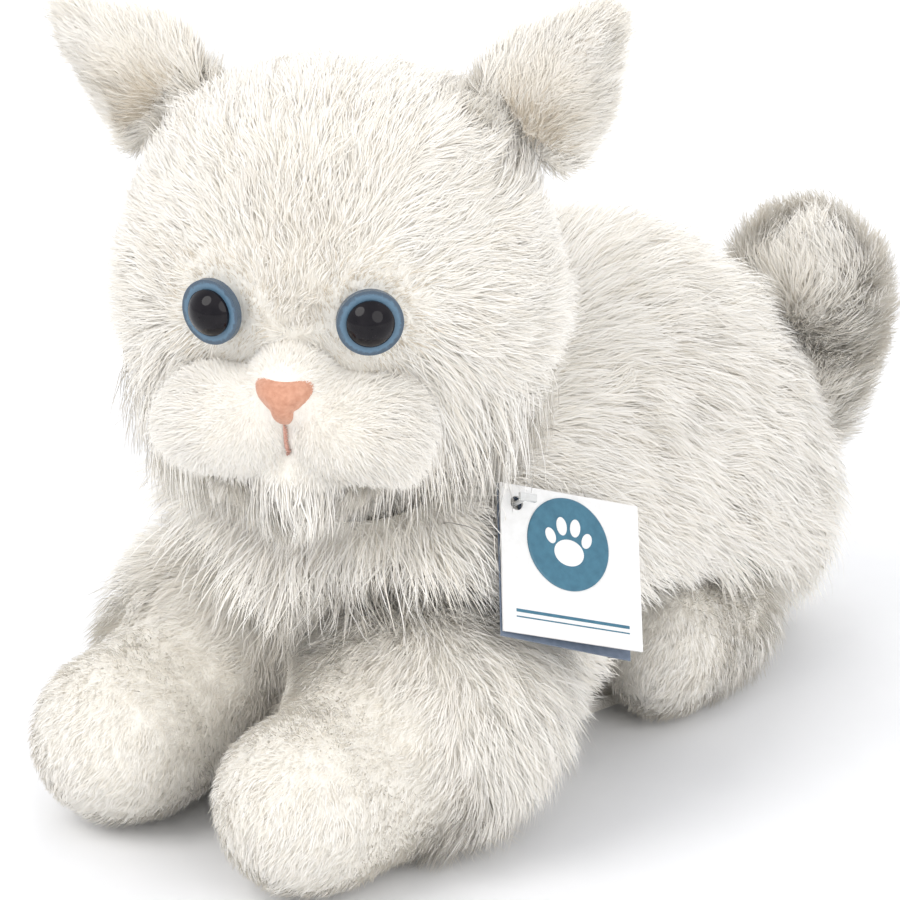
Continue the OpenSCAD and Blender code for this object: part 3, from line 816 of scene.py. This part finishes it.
def eye_pieces():
    for side in SIDES:
        black = new_material("eye_%s_black" % side, (0.008, 0.007, 0.009), 0.05, Specular_IOR_Level=0.22)
        colour_in(black, ramp(black, noise(black, 300, 2),
                              (0.35, (0.005, 0.004, 0.006)), (0.75, (0.012, 0.010, 0.012))))
        dress("eye_%s_pupil" % side, black)
        blue = new_material("eye_%s_blue" % side, (0.10, 0.23, 0.36), 0.45,
                            Coat_Weight=0.3, Coat_Roughness=0.2)
        place = node(blue, "ShaderNodeVectorMath")
        place.operation = "SUBTRACT"
        place.inputs[1].default_value = IRIS[side]
        link(blue, coordinates(blue), place.inputs[0])
        reach = node(blue, "ShaderNodeVectorMath")
        reach.operation = "LENGTH"
        link(blue, place.outputs[0], reach.inputs[0])
        scale = node(blue, "ShaderNodeMapRange")
        scale.inputs["From Min"].default_value = 0.0055
        scale.inputs["From Max"].default_value = 0.0087
        link(blue, reach.outputs["Value"], scale.inputs["Value"])
        rays = noise(blue, 900, 4)
        mixed = node(blue, "ShaderNodeMath")
        mixed.operation = "MULTIPLY_ADD"
        mixed.inputs[1].default_value = 0.5
        link(blue, rays, mixed.inputs[0])
        link(blue, scale.outputs["Result"], mixed.inputs[2])
        colour_in(blue, ramp(blue, mixed.outputs[0],
                             (0.15, (0.020, 0.035, 0.055)), (0.4, (0.075, 0.15, 0.22)),
                             (0.8, (0.10, 0.19, 0.275)), (1.0, (0.055, 0.09, 0.13))))
        add_bump(blue, noise(blue, 2600, 3), 0.0002, 0.5)
        dress("eye_%s_iris" % side, blue)
        fixing = new_material("eye_%s_fixing" % side, (0.03, 0.03, 0.03), 0.5)
        add_bump(fixing, noise(fixing, 900, 3), 0.0001, 0.4)
        for part in ("shank", "washer"):
            dress("eye_%s_%s" % (side, part), fixing)


eye_pieces()

# ------------------------------------------------------------------ nose and mouth


def muzzle_surface(q_mm, lift_mm=0.0):
    """The point of the muzzle's skin straight behind a point of the head frame."""
    start = Vector(from_head_mm(np.array([q_mm[0], -90, q_mm[1]])))
    place, normal, _, _ = muzzle.tree.ray_cast(start, Vector(-HEAD_F))
    if place is None:
        inner = Vector(from_head_mm(np.array([q_mm[0], -50, q_mm[1]])))
        place, normal, _, _ = muzzle.tree.find_nearest(inner)
    return np.array(place) + np.array(normal) * lift_mm * MM, np.array(normal)


def nose():
    """A puffed triangle of velour with a soft dent at each nostril."""
    rings, spokes = 9, 48
    verts, faces = [], []
    corners = [np.array([9.6, 5.4]), np.array([-9.6, 5.4]), np.array([0, -8.6])]

    def outline(angle):
        d = np.array([math.cos(angle), math.sin(angle)])
        lo, hi = 0.0, 14.0
        for _ in range(26):
            mid = (lo + hi) / 2
            p = d * mid
            inside = all(np.cross(corners[(i + 1) % 3] - corners[i], p - corners[i]) > 0 for i in range(3))
            lo, hi = (mid, hi) if inside else (lo, mid)
        return lo

    raw = np.array([outline(2 * math.pi * k / spokes) for k in range(spokes)])
    for _ in range(5):
        raw = (np.roll(raw, 1) + raw * 2 + np.roll(raw, -1)) / 4
    turn = 2 * np.pi * np.arange(spokes) / spokes
    for notch in (math.radians(-38), math.radians(218)):
        raw -= 1.0 * np.exp(-((np.angle(np.exp(1j * (turn - notch))) / 0.33) ** 2))
    nose_mm = to_head_mm(NOSE)
    for i in range(rings + 1):
        t = i / rings
        for k in range(spokes):
            a = 2 * math.pi * k / spokes
            x, z = raw[k] * t * math.cos(a), raw[k] * t * math.sin(a)
            on, normal = muzzle_surface((nose_mm[0] + x, nose_mm[2] + z))
            puff = 2.9 * (1 - t**3.2) ** 0.6 - 0.5
            puff -= 0.9 * math.exp(-(((abs(x) - 4.4) / 1.7) ** 2 + ((z + 0.6) / 1.3) ** 2))
            verts.append(on + HEAD_F * max(puff, -0.5) * MM)
    for i in range(rings):
        for k in range(spokes):
            n = (k + 1) % spokes
            faces.append((i * spokes + k, i * spokes + n, (i + 1) * spokes + n, (i + 1) * spokes + k))
    mesh = mesh_from("nose", verts, faces)
    velour = new_material("nose_velour", (0.66, 0.33, 0.215), 0.85, Sheen_Weight=0.25, Sheen_Roughness=0.4)
    colour_in(velour, ramp(velour, noise(velour, 700, 4),
                           (0.3, (0.55, 0.255, 0.16)), (0.7, (0.70, 0.37, 0.25))))
    add_bump(velour, noise(velour, 3200, 3), 0.0003, 0.8)
    mesh.materials.append(velour)
    obj = add_object("nose", mesh, "head", "nose_velour", "nose_patch")


def thread_tube(name, path, radius, slot, body, material, plies=2, turn=0.0016, sides=7, replaced=()):
    """Twisted thread: plies wound round a path, thinner at its two ends."""
    path = np.array(path)
    seg = np.linalg.norm(np.diff(path, axis=0), axis=1)
    dist = np.concatenate([[0], np.cumsum(seg)])
    count = max(12, int(dist[-1] / 0.0003))
    s = np.linspace(0, dist[-1], count)
    line = np.stack([np.interp(s, dist, path[:, k]) for k in range(3)], 1)
    tangent = unit(np.gradient(line, axis=0))
    up = unit(np.cross(tangent, HEAD_F))
    out = np.cross(up, tangent)
    verts, faces = [], []
    for ply in range(plies):
        phase = 2 * math.pi * (s / turn + ply / plies)
        mid = line + (up * np.cos(phase)[:, None] + out * np.sin(phase)[:, None]) * radius * 0.55
        base = len(verts)
        for i in range(count):
            end = min(1, 4 * min(i, count - 1 - i) / count + 0.35)
            for k in range(sides):
                a = 2 * math.pi * k / sides
                verts.append(mid[i] + (up[i] * math.cos(a) + out[i] * math.sin(a)) * radius * 0.62 * end)
        for i in range(count - 1):
            for k in range(sides):
                n, here, there = (k + 1) % sides, base + i * sides, base + (i + 1) * sides
                faces.append((here + k, here + n, there + n, there + k))
        faces.append(tuple(base + k for k in range(sides))[::-1])
        faces.append(tuple(base + (count - 1) * sides + k for k in range(sides)))
    mesh = mesh_from(name, verts, faces)
    mesh.materials.append(material)
    return add_object(name, mesh, body, slot, *replaced)


def mouth():
    thread = new_material("mouth_thread", (0.62, 0.33, 0.25), 0.6, Sheen_Weight=0.4)
    colour_in(thread, ramp(thread, noise(thread, 900, 3),
                           (0.3, (0.50, 0.25, 0.19)), (0.7, (0.70, 0.40, 0.31))))
    add_bump(thread, noise(thread, 5000, 2, (1, 1, 0.2)), 0.0001, 0.5)
    fine = [muzzle_surface((0, z), 0.55)[0] for z in np.linspace(-21.5, -31.0, 24)]
    thread_tube("mouth_seam", fine, 0.00055, "thread", "head", thread, replaced=("mouth_stitch",))


nose()
mouth()

# ------------------------------------------------------------------ card tag


def tag():
    card = new_material("card_white", (0.80, 0.79, 0.77), 0.45, Coat_Weight=0.25, Coat_Roughness=0.25)
    colour_in(card, ramp(card, noise(card, 500, 4), (0.3, (0.77, 0.76, 0.735)), (0.7, (0.83, 0.82, 0.80))))
    add_bump(card, noise(card, 2200, 3), 0.00005, 0.25)
    grey = new_material("card_grey", (0.13, 0.17, 0.23), 0.5, Coat_Weight=0.2, Coat_Roughness=0.3)
    colour_in(grey, ramp(grey, noise(grey, 500, 4), (0.3, (0.11, 0.145, 0.20)), (0.7, (0.16, 0.20, 0.27))))
    add_bump(grey, noise(grey, 2200, 3), 0.00005, 0.25)
    for name, mat in (("tag_front_leaf", card), ("tag_back_leaf", grey)):
        dress(name, mat)
    ink = new_material("ink_blue", (0.035, 0.145, 0.215), 0.4, Coat_Weight=0.3, Coat_Roughness=0.2)
    colour_in(ink, ramp(ink, noise(ink, 420, 4), (0.3, (0.028, 0.125, 0.19)), (0.7, (0.045, 0.17, 0.245))))
    add_bump(ink, noise(ink, 1500, 3), 0.0001, 0.35)
    top = LEAF[2][1]

    def plate(name, outline, height, base, material, *replaced,
              profile=((1.0, 0.0), (1.0, 0.6), (0.97, 1.0))):
        """A low raised print: an outline in the card's plane with a rounded edge."""
        outline = np.array(outline, float) * MM
        mid = outline.mean(0)
        verts, faces, n = [], [], len(outline)
        for scale, rise in profile:
            for x, y in mid + (outline - mid) * scale:
                at = EMBLEM_C + TAG_R * x + TAG_U * y
                at = at + TAG_N * (top + (base + height * rise) * MM - at @ TAG_N)
                verts.append(at)
        for i in range(len(profile) - 1):
            for k in range(n):
                m = (k + 1) % n
                faces.append((i * n + k, i * n + m, (i + 1) * n + m, (i + 1) * n + k))
        last = (len(profile) - 1) * n
        faces.append(tuple(last + k for k in range(n)))
        faces.append(tuple(range(n))[::-1])
        mesh = mesh_from(name, verts, faces, False)
        mesh.materials.append(material)
        return add_object(name, mesh, "tag_leaf", "ink_blue" if material is ink else "card_white", *replaced)

    def oval(x, y, a, b, turn=0, n=40):
        c, s = math.cos(math.radians(turn)), math.sin(math.radians(turn))
        return [(x + a * math.cos(t) * c - b * math.sin(t) * s, y + a * math.cos(t) * s + b * math.sin(t) * c)
                for t in np.linspace(0, 2 * math.pi, n, endpoint=False)]

    plate("tag_disc", oval(0, 0, 12.6, 12.6, n=120), 0.45, 0.0, ink, "tag_emblem")
    motif = [("paw_pad", oval(0, -2.4, 4.6, 3.6)), ("paw_toe_1", oval(-5.6, 1.6, 1.5, 2.2, 24)),
             ("paw_toe_2", oval(-2.1, 4.6, 1.6, 2.5, 8)), ("paw_toe_3", oval(2.1, 4.6, 1.6, 2.5, -8)),
             ("paw_toe_4", oval(5.6, 1.6, 1.5, 2.2, -24))]
    for name, shape in motif:
        plate("tag_" + name, shape, 0.18, 0.36, card)
    low = LEAF[1][0] - EMBLEM_C @ TAG_U
    left, right = LEAF[0][0] - EMBLEM_C @ TAG_R, LEAF[0][1] - EMBLEM_C @ TAG_R
    margin = 4.0
    x0, x1 = left / MM + margin, right / MM - margin
    for i, (y, h) in enumerate(((5.6, 0.85), (4.2, 0.35))):
        y0 = low / MM + y
        bar = [(x0, y0), (x1, y0), (x1, y0 + h), (x0, y0 + h)]
        plate("tag_rule_%d" % (i + 1), bar, 0.08, 0.0, ink)
    barb = new_material("barb_nylon", (0.82, 0.82, 0.80), 0.25, Transmission_Weight=0.35)
    add_bump(barb, noise(barb, 1200, 2), 0.00005, 0.2)
    dress("tag_fastener", barb)


tag()

# ------------------------------------------------------------------ care label and belly panel


def label():
    verts, _ = arrays(NODES["care_label"].data)
    lo_z, hi_z = verts[:, 2].min(), verts[:, 2].max()
    flat = verts[:, :2] - verts[:, :2].mean(0)
    _, _, axes = np.linalg.svd(flat)
    away = np.array([0.53, 0.85])
    out = max((*axes, *-axes), key=lambda axis: axis @ away)
    out = np.array([*out, 0.0])
    across = np.cross([0, 0, 1.0], out)
    s, c = verts @ out, verts @ across
    reach, wide = s.max() - s.min(), c.max() - c.min()
    steps, cols, gap = 60, 14, hi_z - lo_z - 0.0003
    grid = []
    for i in range(steps + 1):
        t = i / steps * 2
        along = reach * (t if t < 1 else 2 - t)
        bend = gap / 2 * math.cos(math.pi * min(max((t - 0.94) / 0.12, 0), 1))
        for k in range(cols + 1):
            x = k / cols - 0.5
            sag = -0.0016 * (along / reach) ** 2 + 0.0004 * math.sin(x * 7 + along * 400)
            at = out * (s.min() + along) + across * (c.min() + wide * (x + 0.5))
            grid.append((*at[:2], (lo_z + hi_z) / 2 - bend + sag))
    mesh = mesh_from("care_label_ribbon", grid, grid_faces(steps, cols))
    satin = new_material("label_satin", (0.83, 0.77, 0.62), 0.38, Sheen_Weight=0.5, Anisotropic=0.4)
    weave = node(satin, "ShaderNodeTexWave", Scale=900, Distortion=1.2)
    link(satin, coordinates(satin), weave.inputs["Vector"])
    colour_in(satin, ramp(satin, weave.outputs["Fac"], (0.2, (0.76, 0.70, 0.55)), (0.8, (0.86, 0.81, 0.67))))
    add_bump(satin, weave.outputs["Fac"], 0.00008, 0.5)
    mesh.materials.append(satin)
    obj = add_object("care_label_ribbon", mesh, "torso", "label_satin", "care_label")


label()
dress("belly_panel", SKIN_SHORT)

# ------------------------------------------------------------------ stage, light, camera


def area_light(name, at, aim, size, power, colour=(1, 1, 1)):
    lamp = bpy.data.lights.new(name, "AREA")
    lamp.shape = "DISK"
    lamp.size, lamp.energy, lamp.color = size, power, colour
    obj = bpy.data.objects.new(name, lamp)
    obj.location = at
    obj.rotation_mode = "QUATERNION"
    obj.rotation_quaternion = (Vector(aim) - Vector(at)).to_track_quat("-Z", "Y")
    bpy.context.scene.collection.objects.link(obj)


def stage():
    size, n = 6.0, 8
    verts = [(-size + 2 * size * i / n, -size + 2 * size * j / n, 0)
             for j in range(n + 1) for i in range(n + 1)]
    floor = bpy.data.objects.new("floor", mesh_from("floor", verts, grid_faces(n, n), False))
    bpy.context.scene.collection.objects.link(floor)
    paper = new_material("floor_paper", (0.86, 0.86, 0.86), 0.9, Specular_IOR_Level=0.1)
    colour_in(paper, ramp(paper, noise(paper, 40, 3),
                          (0.3, (0.855, 0.855, 0.855)), (0.7, (0.87, 0.87, 0.87))))
    floor.data.materials.append(paper)
    world = bpy.data.worlds.new("studio")
    world.use_nodes = True
    world.node_tree.nodes["Background"].inputs[0].default_value = (0.93, 0.95, 1.0, 1)
    world.node_tree.nodes["Background"].inputs[1].default_value = 0.98
    bpy.context.scene.world = world
    area_light("key", (-0.25, -1.1, 1.2), (0, -0.02, 0.08), 1.0, 9.5, (1.0, 0.98, 0.955))
    area_light("fill", (1.3, -0.3, 0.8), (0, 0, 0.08), 1.2, 6.5, (1.0, 0.985, 0.96))
    area_light("rim", (-0.5, 1.0, 0.9), (0, 0.05, 0.1), 0.8, 6, (1.0, 1.0, 1.0))
    bpy.context.scene.view_settings.view_transform = "Standard"


def camera():
    lens = bpy.data.cameras.new("camera")
    lens.sensor_width = 36
    lens.lens = 144
    lens.clip_start, lens.clip_end = 0.05, 30
    obj = bpy.data.objects.new("camera", lens)
    back = unit([0.5875, -0.7255, 0.358])
    aim = Vector((0, -0.020, 0.085))
    obj.location = aim + Vector(back)
    obj.rotation_mode = "QUATERNION"
    obj.rotation_quaternion = Vector(-back).to_track_quat("-Z", "Y")
    bpy.context.scene.collection.objects.link(obj)
    bpy.context.scene.camera = obj


stage()
camera()
